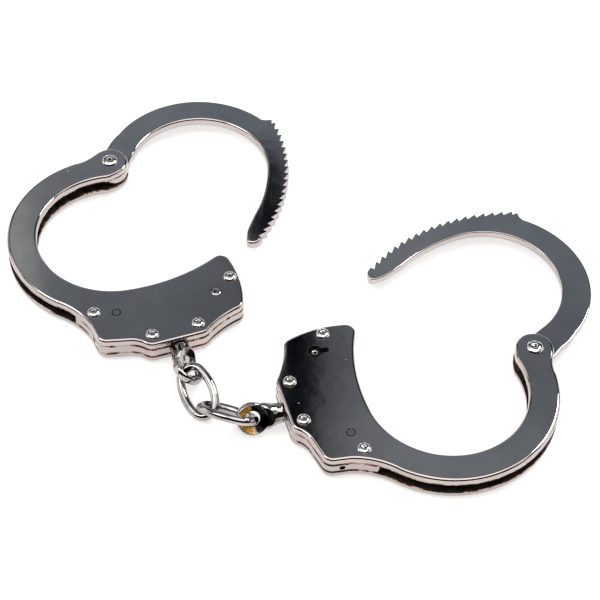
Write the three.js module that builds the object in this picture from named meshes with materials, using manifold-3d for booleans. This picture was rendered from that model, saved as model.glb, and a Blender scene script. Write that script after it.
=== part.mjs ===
// A pair of chain-linked ratchet handcuffs, millimetres, +Z up, lying flat with the two strands swung open.
// Each cuff is modelled once in its own frame: the strand's pivot at the origin, the lock case straight
// below it (-Y), the keyhole face up (+Z) and the middle of the plate stack at z = 0.
import * as THREE from 'three';
import { mergeVertices } from 'three/addons/utils/BufferGeometryUtils.js';
import Module from 'manifold-3d';

const wasm = await Module();
wasm.setup();

// ---------------------------------------------------------------- driving dimensions (mm, degrees)
const CHEEK_THICK = 2.45;
const GAP = 3.3;
const HALF_GAP = GAP / 2;
const OUTER_FACE = HALF_GAP + CHEEK_THICK;
const CHEEK_ROUND = 0.9;
const STRAND_THICK = 2.9;
const STRAND_EDGE = 0.35;
const HEAD_HEIGHT = 0.9;

const BOW_CENTRE = [-3.8, -31.5];
const BOW_INNER = 24.5;
const BOW_OUTER = 33.8;
const BOW_FROM = -62.4;
const BOW_TO = 63.4;
const BOW_INNER_FROM = 80;
const BOW_INNER_TO = -103;
const PIVOT_BOSS = 5.9;
const RIVET_BOSS = 3.95;
const MOUTH_LIP = { centre: [3.3, -0.8], radius: 56 };
const MOUTH_TIP = { centre: [-37.82, -43.38], radius: 3.2 };
const KEY_CORNER = { centre: [-42.2, -59.3], radius: 3.3 };
const THROAT_CORNER = { centre: [-4.6, -73.2], radius: 3.5, from: -92, to: -31 };

const RIVETS = {
  mouth: [-40.92, -49.62],
  swivel_left: [-31.91, -68.63],
  swivel_right: [-18.25, -73.54],
  throat: [0, -65.39],
};
const PAWL_PIN = [-6.8, -65.01];
const KEY_POST = [-36.87, -55.6];

const STRAND_EYE = 5.6;
const STRAND_BORE_PLAY = 0.3;
const STRAND_BACK = { centre: [-28, 8], radius: 30.6, from: 15, to: 121 };
const STRAND_BELLY = { centre: [-28.6, 7], radius: 22.5, to: 4 };
const STRAND_TIP_TURN = 190;

const TOOTH_TIP = 59.18;
const TOOTH_ROOT = 57.75;
const TOOTH_PITCH = 2.983;
const TOOTH_COUNT = 19;
const TOOTH_LAST = 199.26;
const TOOTH_UNDERCUT = 0.18;
const CHANNEL = 59.7;

const RIVET_SHANK = 1.5;
const RIVET_HEAD = 2.1;
const PIVOT_SHANK = 1.9;
const PIVOT_HEAD = 2.6;
const PAWL_PIN_RADIUS = 1.2;
const PIN_CHAMFER = 0.1;
const FIT = 0.05;
const SPACER_PLAY = 0.02;

const KEYHOLE = 2.3;
const KEY_SLOT_HALF = 0.95;
const KEY_SLOT_REACH = 4.3;
const KEY_SLOT_ANGLE = 66;
const KEY_ROOM = 4.6;
const KEY_STEM = 1.1;
const KEY_FOOT = 1.5;
const KEY_BORE = 0.45;

const PAWL_SWING = 5.5;
const PAWL_BITES_AT = [242.5, 245.483, 248.466];
const PAWL_CREST = 58.1;
const PAWL_BACK = 59.75;
const PAWL_BORE = 1.5;
const PAWL_EYE = 3;
const PUSH_HOLE = { at: [-2.6, -71.37], angle: -31, radius: 0.9, length: 8 };

const STEM = 1.8;
const STEM_HEAD = 2.6;
const STEM_HEAD_FROM = -1.6;
const STEM_HEAD_TO = -0.1;
const SEAT_PLAY = 0.35;
const STEM_PLAY = 0.3;
const SHANK = 3.1;
const SHANK_FROM = 4.25;
const SHANK_FLARE = 3.7;
const EYE_AT = 13.4;
const EYE_HOLE = 2.2;
const EYE_BORE_HALF = 0.4;
const EYE_CREST = 4.5;
const EYE_OUTER = 5.05;
const EYE_HALF_THICK = 1.45;

const LINK_LENGTH = 19.65;
const LINK_WIRE = 1.35;
const LINK_HALF = 4.5;
const LINK_END = 3.6;

// Where each cuff and link rests, the floor at z = 0.
const MID_HEIGHT = 5;
const LEFT_CUFF = { at: [-64.79, 56.18], turn: 2.003 };
const RIGHT_CUFF = { at: [71.68, -14.39], turn: -51.542 };
const LEFT_STRAND_TURN = 11.5;
const LEFT_EYE_TURN = 145.9;
const RIGHT_EYE_TURN = 127.5;
const LINK_A = { at: [-28.97, -33.44, 3.98], along: [0.44, -0.884, -0.156], across: [0.828, 0.332, 0.451] };
const LINK_B = { at: [-19.65, -41.53, 4.75], along: [0.912, -0.384, 0.143], across: [0.389, 0.7, -0.6] };
const FRAME_SHIFT = [1.28, -12.63, 0];

// Cutters reach this far from the mid-plane, clear of both faces.
const BEYOND = 6;
const FLATNESS = 0.06;
const DEG = Math.PI / 180;

// ---------------------------------------------------------------- small helpers
const polar = (radius, degrees) => [radius * Math.cos(degrees * DEG), radius * Math.sin(degrees * DEG)];

const around = (centre, radius, degrees) => {
  const [x, y] = polar(radius, degrees);
  return [centre[0] + x, centre[1] + y];
};

const turned = (point, centre, degrees) => {
  const c = Math.cos(degrees * DEG);
  const s = Math.sin(degrees * DEG);
  const dx = point[0] - centre[0];
  const dy = point[1] - centre[1];
  return [centre[0] + dx * c - dy * s, centre[1] + dx * s + dy * c];
};

const arc = (shape, centre, radius, from, to) => {
  shape.absarc(centre[0], centre[1], radius, from * DEG, to * DEG, to < from);
};

const polygon = (points) => new THREE.Shape(points.map(([x, y]) => new THREE.Vector2(x, y)));

// The same outline as straight steps, each within FLATNESS of its curve and no point doubled.
function stepped(shape) {
  const kept = [];
  for (const curve of shape.curves) {
    let count = curve.isLineCurve ? 1 : 6;
    if (curve.isEllipseCurve) {
      count = Math.ceil(curve.getLength() / Math.sqrt(8 * FLATNESS * curve.xRadius));
    }
    for (let i = 0; i <= count; i += 1) {
      const point = curve.getPoint(i / count);
      if (kept.length === 0 || point.distanceTo(kept[kept.length - 1]) > 0.02) {
        kept.push(point);
      }
    }
  }
  if (kept[0].distanceTo(kept[kept.length - 1]) < 0.02) {
    kept.pop();
  }
  return new THREE.Shape(kept);
}

function solid(geometry) {
  const bare = geometry.clone();
  bare.deleteAttribute('normal');
  bare.deleteAttribute('uv');
  const merged = mergeVertices(bare, 1e-4);
  return new wasm.Manifold(new wasm.Mesh({
    numProp: 3,
    vertProperties: Float32Array.from(merged.attributes.position.array),
    triVerts: Uint32Array.from(merged.index.array),
  }));
}

function surface(manifold) {
  const mesh = manifold.getMesh();
  const geometry = new THREE.BufferGeometry();
  geometry.setAttribute('position', new THREE.BufferAttribute(Float32Array.from(mesh.vertProperties), 3));
  geometry.setIndex(new THREE.BufferAttribute(Uint32Array.from(mesh.triVerts), 1));
  const loose = geometry.toNonIndexed();
  loose.computeVertexNormals();
  return loose;
}

// A straight-sided slab of the shape between two heights.
function slab(shape, low, high) {
  const geometry = new THREE.ExtrudeGeometry(stepped(shape), { depth: high - low, bevelEnabled: false });
  geometry.translate(0, 0, low);
  return geometry;
}

// A slab with both faces' edges eased by the given size.
function easedSlab(shape, low, high, ease, segments) {
  const geometry = new THREE.ExtrudeGeometry(stepped(shape), {
    depth: high - low - 2 * ease,
    bevelEnabled: true,
    bevelThickness: ease,
    bevelSize: ease,
    bevelOffset: -ease,
    bevelSegments: segments,
  });
  geometry.translate(0, 0, low + ease);
  return geometry;
}

// A round bar from one height to another, standing on a point.
function post(at, radius, low, high, sides = 24) {
  const geometry = new THREE.CylinderGeometry(radius, radius, high - low, sides);
  geometry.rotateX(Math.PI / 2);
  geometry.translate(at[0], at[1], (low + high) / 2);
  return geometry;
}

// A turned solid: profile pairs are [radius, height] from the lower end on the axis to the upper.
function turnedSolid(profile, sides) {
  const points = profile.map(([radius, height]) => new THREE.Vector2(radius, height));
  const geometry = new THREE.LatheGeometry(points, sides);
  geometry.rotateX(Math.PI / 2);
  return geometry;
}

// A round wire bent along a closed flat centreline given as [x, y, outward x, outward y] stations.
function closedWire(stations, radius, sides) {
  const positions = [];
  const indices = [];
  const count = stations.length;
  for (const [x, y, nx, ny] of stations) {
    for (let k = 0; k < sides; k += 1) {
      const angle = (k / sides) * 2 * Math.PI;
      const out = radius * Math.cos(angle);
      positions.push(x + nx * out, y + ny * out, radius * Math.sin(angle));
    }
  }
  for (let i = 0; i < count; i += 1) {
    const next = (i + 1) % count;
    for (let k = 0; k < sides; k += 1) {
      const step = (k + 1) % sides;
      const a = i * sides + k;
      const b = next * sides + k;
      const c = next * sides + step;
      const d = i * sides + step;
      indices.push(a, b, c, a, c, d);
    }
  }
  const geometry = new THREE.BufferGeometry();
  geometry.setAttribute('position', new THREE.Float32BufferAttribute(positions, 3));
  geometry.setIndex(indices);
  geometry.computeVertexNormals();
  return geometry;
}

// ---------------------------------------------------------------- outlines in the cuff's frame
// The direction the swivel leaves the case: square to the line between its two rivets.
const swivelBase = [
  (RIVETS.swivel_left[0] + RIVETS.swivel_right[0]) / 2,
  (RIVETS.swivel_left[1] + RIVETS.swivel_right[1]) / 2,
];
const SWIVEL_ANGLE = Math.atan2(
  RIVETS.swivel_right[1] - RIVETS.swivel_left[1],
  RIVETS.swivel_right[0] - RIVETS.swivel_left[0],
) / DEG - 90;

// One cheek: a bow round the wrist that spreads into the lock case.
function cheekOutline() {
  const shape = new THREE.Shape();
  const [startX, startY] = around(BOW_CENTRE, BOW_OUTER, BOW_FROM);
  shape.moveTo(startX, startY);
  arc(shape, BOW_CENTRE, BOW_OUTER, BOW_FROM, BOW_TO);
  shape.bezierCurveTo(7.9, -0.35, 5.9, 2.45, ...polar(PIVOT_BOSS, 45));
  arc(shape, [0, 0], PIVOT_BOSS, 45, 230);
  shape.quadraticCurveTo(-1.65, -6.6, ...around(BOW_CENTRE, BOW_INNER, BOW_INNER_FROM));
  arc(shape, BOW_CENTRE, BOW_INNER, BOW_INNER_FROM, BOW_INNER_TO);
  arc(shape, MOUTH_LIP.centre, MOUTH_LIP.radius, -103, -134);
  arc(shape, MOUTH_TIP.centre, MOUTH_TIP.radius, 46, 160);
  shape.bezierCurveTo(-43.2, -46.3, -45.4, -52.5, -45.5, -59.3);
  arc(shape, KEY_CORNER.centre, KEY_CORNER.radius, 180, 237);
  shape.bezierCurveTo(-40.2, -64.5, -36.9, -68.25, ...around(RIVETS.swivel_left, RIVET_BOSS, 215));
  arc(shape, RIVETS.swivel_left, RIVET_BOSS, 215, 360 + SWIVEL_ANGLE);
  shape.lineTo(...around(RIVETS.swivel_right, RIVET_BOSS, SWIVEL_ANGLE));
  arc(shape, RIVETS.swivel_right, RIVET_BOSS, SWIVEL_ANGLE, -60);
  shape.quadraticCurveTo(-14.2, -75.8, -12, -75.9);
  arc(shape, THROAT_CORNER.centre, THROAT_CORNER.radius, THROAT_CORNER.from, THROAT_CORNER.to);
  shape.lineTo(0.6, -70.6);
  shape.bezierCurveTo(2.2, -67.9, 6.2, -63.6, startX, startY);
  return shape;
}

// The swinging strand: a hook with saw teeth outside its far limb, drawn in the right cuff's open angle.
function strandOutline() {
  const limbInner = Math.hypot(...STRAND_BELLY.centre) + STRAND_BELLY.radius;
  const joinTurn = Math.atan2(STRAND_BELLY.centre[1], STRAND_BELLY.centre[0]) / DEG;
  const shape = new THREE.Shape();
  shape.moveTo(STRAND_EYE, 0);
  shape.bezierCurveTo(5.5, 4, 3.6, 6.5, 3.3, 10);
  shape.quadraticCurveTo(2.9, 13.2, ...around(STRAND_BACK.centre, STRAND_BACK.radius, STRAND_BACK.from));
  arc(shape, STRAND_BACK.centre, STRAND_BACK.radius, STRAND_BACK.from, STRAND_BACK.to);
  shape.lineTo(-45.1, 33.8);
  shape.lineTo(...polar(58.5, 143.9));
  const first = TOOTH_LAST - (TOOTH_COUNT - 1) * TOOTH_PITCH;
  shape.lineTo(...polar(58.1, 144.9));
  for (let i = 0; i < TOOTH_COUNT; i += 1) {
    const tip = first + i * TOOTH_PITCH;
    shape.lineTo(...polar(TOOTH_ROOT, tip - TOOTH_UNDERCUT));
    shape.lineTo(...polar(TOOTH_TIP, tip));
  }
  shape.quadraticCurveTo(-55.1, -22.2, -52.9, -22.5);
  shape.quadraticCurveTo(-51.2, -22.7, -50.8, -20.6);
  shape.quadraticCurveTo(-50.1, -17.8, -50.5, -14.4);
  shape.quadraticCurveTo(-50.7, -12.2, ...polar(limbInner, STRAND_TIP_TURN));
  arc(shape, [0, 0], limbInner, STRAND_TIP_TURN, joinTurn);
  arc(shape, STRAND_BELLY.centre, STRAND_BELLY.radius, joinTurn, STRAND_BELLY.to);
  shape.quadraticCurveTo(-5.5, 5, -STRAND_EYE, 0);
  arc(shape, [0, 0], STRAND_EYE, 180, 360);
  return shape;
}

// The pawl where it bites the teeth; it rests swung clear by PAWL_SWING about its pin.
function pawlOutline() {
  const points = [];
  points.push(polar(63.5, 238.3), polar(61.6, 238.3), polar(60.3, 239.6), polar(60.2, 240.3));
  for (const tip of PAWL_BITES_AT) {
    points.push(polar(PAWL_BACK, tip - 2.4));
    points.push(polar(PAWL_CREST, tip));
    points.push(polar(PAWL_BACK, tip + 0.15));
  }
  for (let angle = 251; angle < 265; angle += 3) {
    points.push(polar(PAWL_BACK, angle));
  }
  for (let angle = 50; angle > -150; angle -= 25) {
    points.push(around(PAWL_PIN, PAWL_EYE, angle));
  }
  points.push(polar(64.2, 259), polar(64, 256), polar(64, 255.2));
  points.push(polar(66.2, 254.6), polar(66.2, 252.8), polar(66.2, 251), polar(64, 250.2));
  points.push(polar(63.5, 247), polar(63.5, 244), polar(63.5, 241));
  return polygon(points.map((point) => turned(point, PAWL_PIN, PAWL_SWING)).reverse());
}

// The hollow between the cheeks that the pawl, its spring and the lock bar work in.
const cavityOutline = () => polygon([
  [-33.5, -57], [-33.6, -59.8], [-30.6, -63.4], [-27.2, -65.5], [-21.6, -67.5], [-20.4, -67.9],
  [-20.4, -70.9], [-3.4, -70.9], [-3.4, -59], [-28, -50], [-30, -51.4], [-33.4, -52.8],
]);

// ---------------------------------------------------------------- pieces of one cuff
function cheek(side) {
  const low = side > 0 ? HALF_GAP : -OUTER_FACE;
  const high = low + CHEEK_THICK;
  const padLow = side > 0 ? low - 2 * CHEEK_ROUND : low;
  const padHigh = side > 0 ? high : high + 2 * CHEEK_ROUND;
  const body = solid(easedSlab(cheekOutline(), padLow, padHigh, CHEEK_ROUND, 1));
  const keep = solid(slab(polygon([[-60, -90], [50, -90], [50, 20], [-60, 20]]), low, high));
  let result = body.intersect(keep);
  for (const at of Object.values(RIVETS)) {
    result = result.subtract(solid(post(at, RIVET_SHANK + FIT, -BEYOND, BEYOND, 12)));
  }
  result = result.subtract(solid(post([0, 0], PIVOT_SHANK + FIT, -BEYOND, BEYOND, 16)));
  result = result.subtract(solid(post(PAWL_PIN, PAWL_PIN_RADIUS + FIT, -BEYOND, BEYOND, 12)));
  if (side > 0) {
    const slot = new THREE.Shape();
    slot.moveTo(0, -KEY_SLOT_HALF);
    arc(slot, [KEY_SLOT_REACH - KEY_SLOT_HALF, 0], KEY_SLOT_HALF, -90, 90);
    slot.lineTo(0, KEY_SLOT_HALF);
    const slotSolid = slab(slot, -BEYOND, BEYOND);
    slotSolid.rotateZ(KEY_SLOT_ANGLE * DEG);
    slotSolid.translate(KEY_POST[0], KEY_POST[1], 0);
    result = result.subtract(solid(post(KEY_POST, KEYHOLE, -BEYOND, BEYOND)));
    result = result.subtract(solid(slotSolid));
  } else {
    result = result.subtract(solid(post(KEY_POST, KEY_FOOT + FIT, -BEYOND, BEYOND, 12)));
  }
  return surface(result.subtract(swivelSeat()));
}

// The turned seat the swivel's stem and head sit in, along the swivel's axis.
function swivelSeat() {
  const headLow = STEM_HEAD_FROM - SEAT_PLAY;
  const headHigh = STEM_HEAD_TO + SEAT_PLAY;
  const headWide = STEM_HEAD + SEAT_PLAY;
  const neck = STEM + STEM_PLAY;
  const geometry = turnedSolid([
    [0, headLow], [headWide, headLow], [headWide, headHigh], [neck, headHigh], [neck, BEYOND], [0, BEYOND],
  ], 16);
  geometry.rotateX(-Math.PI / 2);
  geometry.rotateZ((SWIVEL_ANGLE - 90) * DEG);
  geometry.translate(swivelBase[0], swivelBase[1], 0);
  return solid(geometry);
}

function spacer() {
  const low = -HALF_GAP + SPACER_PLAY;
  const high = HALF_GAP - SPACER_PLAY;
  const casePart = slab(polygon([[-60, -90], [6, -90], [6, -38], [-60, -38]]), -BEYOND, BEYOND);
  let result = solid(slab(cheekOutline(), low, high)).intersect(solid(casePart));
  result = result.subtract(solid(post([0, 0], CHANNEL, -BEYOND, BEYOND, 96)));
  result = result.subtract(solid(post(KEY_POST, KEY_ROOM, -BEYOND, BEYOND, 20)));
  result = result.subtract(solid(slab(cavityOutline(), -BEYOND, BEYOND)));
  for (const at of Object.values(RIVETS)) {
    result = result.subtract(solid(post(at, RIVET_SHANK + FIT, -BEYOND, BEYOND, 12)));
  }
  const push = new THREE.CylinderGeometry(PUSH_HOLE.radius, PUSH_HOLE.radius, PUSH_HOLE.length, 16);
  push.rotateZ((PUSH_HOLE.angle - 90) * DEG);
  push.translate(PUSH_HOLE.at[0], PUSH_HOLE.at[1], 0);
  result = result.subtract(solid(push));
  return surface(result.subtract(swivelSeat()));
}

function strand() {
  const half = STRAND_THICK / 2;
  let body = solid(easedSlab(strandOutline(), -half, half, STRAND_EDGE, 1));
  body = body.subtract(solid(post([0, 0], PIVOT_SHANK + STRAND_BORE_PLAY, -BEYOND, BEYOND, 16)));
  return surface(body);
}

function pawl() {
  const half = STRAND_THICK / 2;
  const body = solid(slab(pawlOutline(), -half, half));
  return surface(body.subtract(solid(post(PAWL_PIN, PAWL_BORE, -BEYOND, BEYOND, 12))));
}

// A folded leaf: one leg lies along the case wall, the other reaches back to the pawl.
function pawlSpring() {
  const shape = polygon([
    [-30.35, -62.6], [-27.1, -64.9], [-23.5, -66.2], [-22.7, -65.9], [-22.75, -65.1], [-23.5, -64.3],
    [-28.4, -60.9], [-28.1, -60.5], [-23.1, -63.95], [-22.2, -64.9], [-22.1, -66.1], [-23.3, -66.78],
    [-27.25, -65.3], [-30.7, -63.05],
  ]);
  return slab(shape, -1.1, 1.1);
}

function lockBar() {
  const shape = polygon([
    [-16.3, -70.6], [-4.6, -70.6], [-4.6, -68.4], [-14.3, -68.4], [-14.3, -64.95], [-16.3, -64.95],
  ]);
  return easedSlab(shape, -1.3, 1.3, 0.15, 1);
}

// A rivet closed into a low dome on both faces.
function rivet(head, shank, sides) {
  const top = OUTER_FACE + HEAD_HEIGHT;
  const upper = [
    [shank, OUTER_FACE], [head, OUTER_FACE], [head * 0.93, top - 0.45], [head * 0.6, top - 0.1], [0, top],
  ];
  const lower = upper.map(([radius, height]) => [radius, -height]).reverse();
  return turnedSolid([...lower, ...upper], sides);
}

function pawlPin() {
  const flat = PAWL_PIN_RADIUS - PIN_CHAMFER;
  const shoulder = OUTER_FACE - PIN_CHAMFER;
  return turnedSolid([
    [0, -OUTER_FACE], [flat, -OUTER_FACE], [PAWL_PIN_RADIUS, -shoulder],
    [PAWL_PIN_RADIUS, shoulder], [flat, OUTER_FACE], [0, OUTER_FACE],
  ], 12);
}

// The post a barrel key turns on: a riveted foot, a stem just under the face and a blind bore in its top.
function keyPost() {
  const top = OUTER_FACE - 0.5;
  const boreFloor = OUTER_FACE - 1.7;
  return turnedSolid([
    [0, -OUTER_FACE], [KEY_FOOT - PIN_CHAMFER, -OUTER_FACE], [KEY_FOOT, PIN_CHAMFER - OUTER_FACE],
    [KEY_FOOT, -HALF_GAP], [KEY_STEM, -HALF_GAP], [KEY_STEM, top], [KEY_BORE, top],
    [KEY_BORE, boreFloor], [0, boreFloor],
  ], 12);
}

// The swivel, drawn with its axis along +Y from the case and its eye flat in the cuff's plane: a headed
// stem in the case, a flared shank outside it, and an eye dished from both sides down to its hole.
function swivel() {
  const shank = turnedSolid([
    [0, STEM_HEAD_FROM], [STEM_HEAD - 0.3, STEM_HEAD_FROM], [STEM_HEAD, STEM_HEAD_FROM + 0.3],
    [STEM_HEAD, STEM_HEAD_TO], [STEM, STEM_HEAD_TO], [STEM, SHANK_FROM], [SHANK - 0.3, SHANK_FROM],
    [SHANK, SHANK_FROM + 0.35], [SHANK + 0.1, EYE_AT - 7.2], [SHANK_FLARE, EYE_AT - 5.5],
    [SHANK_FLARE - 0.2, EYE_AT - 4.6], [SHANK_FLARE - 0.9, EYE_AT - 3.6], [SHANK_FLARE - 2, EYE_AT - 2.9],
    [0, EYE_AT - 2.6],
  ], 20);
  shank.rotateX(-Math.PI / 2);
  const rim = EYE_HALF_THICK;
  const disc = turnedSolid([
    [0, -rim], [EYE_CREST, -rim], [EYE_CREST + 0.4, 0.25 - rim], [EYE_OUTER, 0.85 - rim],
    [EYE_OUTER, rim - 0.85], [EYE_CREST + 0.4, rim - 0.25], [EYE_CREST, rim], [0, rim],
  ], 28);
  const dishReach = EYE_CREST + 1.7;
  const dish = turnedSolid([
    [0, -BEYOND], [dishReach, -BEYOND], [dishReach, -SHANK_FLARE], [EYE_CREST, -rim],
    [EYE_CREST - 0.5, 0.2 - rim], [EYE_HOLE, -EYE_BORE_HALF], [EYE_HOLE, EYE_BORE_HALF],
    [EYE_CREST - 0.5, rim - 0.2], [EYE_CREST, rim], [dishReach, SHANK_FLARE],
    [dishReach, BEYOND], [0, BEYOND],
  ], 28);
  disc.translate(0, EYE_AT, 0);
  dish.translate(0, EYE_AT, 0);
  return surface(solid(shank).add(solid(disc)).subtract(solid(dish)));
}

// An oval chain link lying along X: tighter arcs at its ends, long arcs bulging along its sides.
function link() {
  const endAt = LINK_LENGTH / 2 - LINK_WIRE - LINK_END;
  const sideRadius = (endAt ** 2 + LINK_HALF ** 2 - LINK_END ** 2) / (2 * (LINK_HALF - LINK_END));
  const sideAt = LINK_HALF - sideRadius;
  const joint = Math.atan2(endAt, -sideAt) / DEG;
  const stations = [];
  const sweep = (centre, radius, from, to, steps) => {
    for (let i = 0; i < steps; i += 1) {
      const angle = from + ((to - from) * i) / steps;
      stations.push([...around(centre, radius, angle), ...polar(1, angle)]);
    }
  };
  sweep([endAt, 0], LINK_END, joint - 90, 90 - joint, 8);
  sweep([0, sideAt], sideRadius, 90 - joint, 90 + joint, 3);
  sweep([-endAt, 0], LINK_END, 90 + joint, 270 - joint, 8);
  sweep([0, -sideAt], sideRadius, 270 - joint, 270 + joint, 3);
  return closedWire(stations, LINK_WIRE, 8);
}

// ---------------------------------------------------------------- materials
const finish = (color, roughness) => new THREE.MeshStandardMaterial({ color, roughness, metalness: 1 });
const NICKEL = ['#8b9096', 0.16];
const RIVET_NICKEL = ['#c3c6c8', 0.14];
const INNER_STEEL = ['#77797b', 0.38];
const SPRING_STEEL = ['#4d4f52', 0.34];
const CHAIN_NICKEL = ['#a3a5a7', 0.18];

function piece(name, geometry, [color, roughness]) {
  const mesh = new THREE.Mesh(geometry, finish(color, roughness));
  mesh.name = name;
  return mesh;
}

// ---------------------------------------------------------------- one whole cuff
function cuff(side, strandTurn, eyeTurn) {
  const group = new THREE.Group();
  group.name = `${side}_cuff`;
  group.add(piece(`${side}_front_cheek`, cheek(1), NICKEL));
  group.add(piece(`${side}_back_cheek`, cheek(-1), NICKEL));
  group.add(piece(`${side}_spacer`, spacer(), NICKEL));
  const strandMesh = piece(`${side}_strand`, strand(), NICKEL);
  strandMesh.rotation.z = strandTurn * DEG;
  group.add(strandMesh);
  group.add(piece(`${side}_pawl`, pawl(), INNER_STEEL));
  group.add(piece(`${side}_pawl_spring`, pawlSpring(), SPRING_STEEL));
  group.add(piece(`${side}_lock_bar`, lockBar(), INNER_STEEL));
  for (const [where, at] of Object.entries(RIVETS)) {
    const rivetMesh = piece(`${side}_rivet_${where}`, rivet(RIVET_HEAD, RIVET_SHANK, 12), RIVET_NICKEL);
    rivetMesh.position.set(at[0], at[1], 0);
    group.add(rivetMesh);
  }
  group.add(piece(`${side}_pivot_rivet`, rivet(PIVOT_HEAD, PIVOT_SHANK, 16), RIVET_NICKEL));
  const pin = piece(`${side}_pawl_pin`, pawlPin(), INNER_STEEL);
  pin.position.set(PAWL_PIN[0], PAWL_PIN[1], 0);
  group.add(pin);
  const key = piece(`${side}_key_post`, keyPost(), RIVET_NICKEL);
  key.position.set(KEY_POST[0], KEY_POST[1], 0);
  group.add(key);
  const swivelHolder = new THREE.Group();
  swivelHolder.position.set(swivelBase[0], swivelBase[1], 0);
  swivelHolder.rotation.z = (SWIVEL_ANGLE - 90) * DEG;
  const swivelMesh = piece(`${side}_swivel`, swivel(), CHAIN_NICKEL);
  swivelMesh.rotation.y = eyeTurn * DEG;
  swivelHolder.add(swivelMesh);
  group.add(swivelHolder);
  return group;
}

function placedLink(name, place) {
  const mesh = piece(name, link(), CHAIN_NICKEL);
  const along = new THREE.Vector3(...place.along).normalize();
  const across = new THREE.Vector3(...place.across);
  across.addScaledVector(along, -across.dot(along)).normalize();
  const square = new THREE.Vector3().crossVectors(along, across);
  mesh.quaternion.setFromRotationMatrix(new THREE.Matrix4().makeBasis(along, across, square));
  mesh.position.set(...place.at);
  return mesh;
}

// ---------------------------------------------------------------- the pair
const object = new THREE.Group();
object.name = 'handcuffs';

// The left cuff lies turned over, back face up.
const leftPlace = new THREE.Group();
leftPlace.position.set(LEFT_CUFF.at[0], LEFT_CUFF.at[1], MID_HEIGHT);
leftPlace.rotation.z = LEFT_CUFF.turn * DEG;
const leftCuff = cuff('left', LEFT_STRAND_TURN, LEFT_EYE_TURN);
leftCuff.rotation.y = Math.PI;
leftPlace.add(leftCuff);

const rightPlace = new THREE.Group();
rightPlace.position.set(RIGHT_CUFF.at[0], RIGHT_CUFF.at[1], MID_HEIGHT);
rightPlace.rotation.z = RIGHT_CUFF.turn * DEG;
rightPlace.add(cuff('right', 0, RIGHT_EYE_TURN));

const all = new THREE.Group();
all.add(leftPlace);
all.add(rightPlace);
all.add(placedLink('link_a', LINK_A));
all.add(placedLink('link_b', LINK_B));
all.position.set(...FRAME_SHIFT);
object.add(all);
object.updateMatrixWorld(true);

export default object;
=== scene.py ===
# A pair of chain-linked handcuffs in polished nickel, lying open on a pale floor.
# Lengths below are in millimetres in each cuff's own frame. They become metres in the row frame when a
# piece is made.
import math

import bmesh
import bpy
from mathutils import Matrix, Vector


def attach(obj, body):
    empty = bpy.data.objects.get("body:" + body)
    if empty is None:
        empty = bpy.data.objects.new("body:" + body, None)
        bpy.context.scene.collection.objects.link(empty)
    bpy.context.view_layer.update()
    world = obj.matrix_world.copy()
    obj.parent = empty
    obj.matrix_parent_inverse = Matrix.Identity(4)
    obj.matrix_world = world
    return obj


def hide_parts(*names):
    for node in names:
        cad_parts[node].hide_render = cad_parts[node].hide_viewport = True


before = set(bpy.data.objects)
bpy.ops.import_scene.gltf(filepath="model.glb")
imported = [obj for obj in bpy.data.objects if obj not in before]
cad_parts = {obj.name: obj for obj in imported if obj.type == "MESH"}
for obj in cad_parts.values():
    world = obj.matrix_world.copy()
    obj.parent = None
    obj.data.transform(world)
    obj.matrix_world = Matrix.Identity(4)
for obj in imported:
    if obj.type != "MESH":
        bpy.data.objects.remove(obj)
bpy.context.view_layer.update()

# ------------------------------------------------------ driving dimensions, as the frame was designed
MM = 0.001
CHEEK_THICK = 2.45
HALF_GAP = 1.65
OUTER_FACE = HALF_GAP + CHEEK_THICK
CHEEK_ROUND = 0.9
SEAM_ROUND = 0.16
SEAM_BAND = 0.5
STRAND_HALF = 1.45
HEAD_HEIGHT = 0.9
BOW_CENTRE = (-3.8, -31.5)
BOW_INNER = 24.5
BOW_OUTER = 33.8
PIVOT_BOSS = 5.9
RIVET_BOSS = 3.95
RIVETS = {
    "mouth": (-40.92, -49.62),
    "swivel_left": (-31.91, -68.63),
    "swivel_right": (-18.25, -73.54),
    "throat": (0.0, -65.39),
}
PAWL_PIN = (-6.8, -65.01)
KEY_POST = (-36.87, -55.6)
PAWL_PIN_HOLE = 1.36
KEY_FOOT_HOLE = 1.57
PUSH_AT = (-2.6, -71.37)
PUSH_ANGLE = -31
PUSH_RADIUS = 0.9
PUSH_LENGTH = 8.0
KEYHOLE = 2.3
KEY_SLOT_ANGLE = 66
RIVET_SHANK = 1.5
RIVET_HEAD = 2.1
PIVOT_SHANK = 1.9
PIVOT_HEAD = 2.6
TOOTH_TIP = 59.18
TOOTH_ROOT = 57.75
TOOTH_PITCH = 2.983
TOOTH_COUNT = 19
TOOTH_LAST = 199.26
CHANNEL = 59.7
STRAND_BELLY = (-28.6, 7)
STRAND_BELLY_RADIUS = 22.5
EYE_AT = 13.4
EYE_BORE_HALF = 0.4
EYE_HOLE = 2.2
EYE_CREST = 4.5
LINK_LENGTH = 19.65
LINK_WIRE = 1.35
LINK_HALF = 4.5
LINK_END = 3.6

SHIFT = Vector((1.28, -12.63, 0.0))
MID_HEIGHT = 5.0
# The last two numbers of each cuff set the strength of its swivel eye's painted copper reflection and painted
# shade.
CUFFS = {
    "left": {
        "at": (-64.79, 56.18), "turn": 2.003, "over": True, "strand": 11.5,
        "eye": 145.9, "bare": 0.3, "shade_paint": 0.35,
    },
    "right": {
        "at": (71.68, -14.39), "turn": -51.542, "over": False, "strand": 0.0,
        "eye": 127.5, "bare": 1.0, "shade_paint": 1.0,
    },
}
LINKS = {
    "link_a": {
        "at": (-28.97, -33.44, 3.98), "along": (0.44, -0.884, -0.156),
        "across": (0.828, 0.332, 0.451),
    },
    "link_b": {"at": (-19.65, -41.53, 4.75), "along": (0.912, -0.384, 0.143), "across": (0.389, 0.7, -0.6)},
}
ARC_STEP = 2.5


# ---------------------------------------------------------------- outlines
def polar(radius, degrees, centre=(0.0, 0.0)):
    a = math.radians(degrees)
    return (centre[0] + radius * math.cos(a), centre[1] + radius * math.sin(a))


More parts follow.
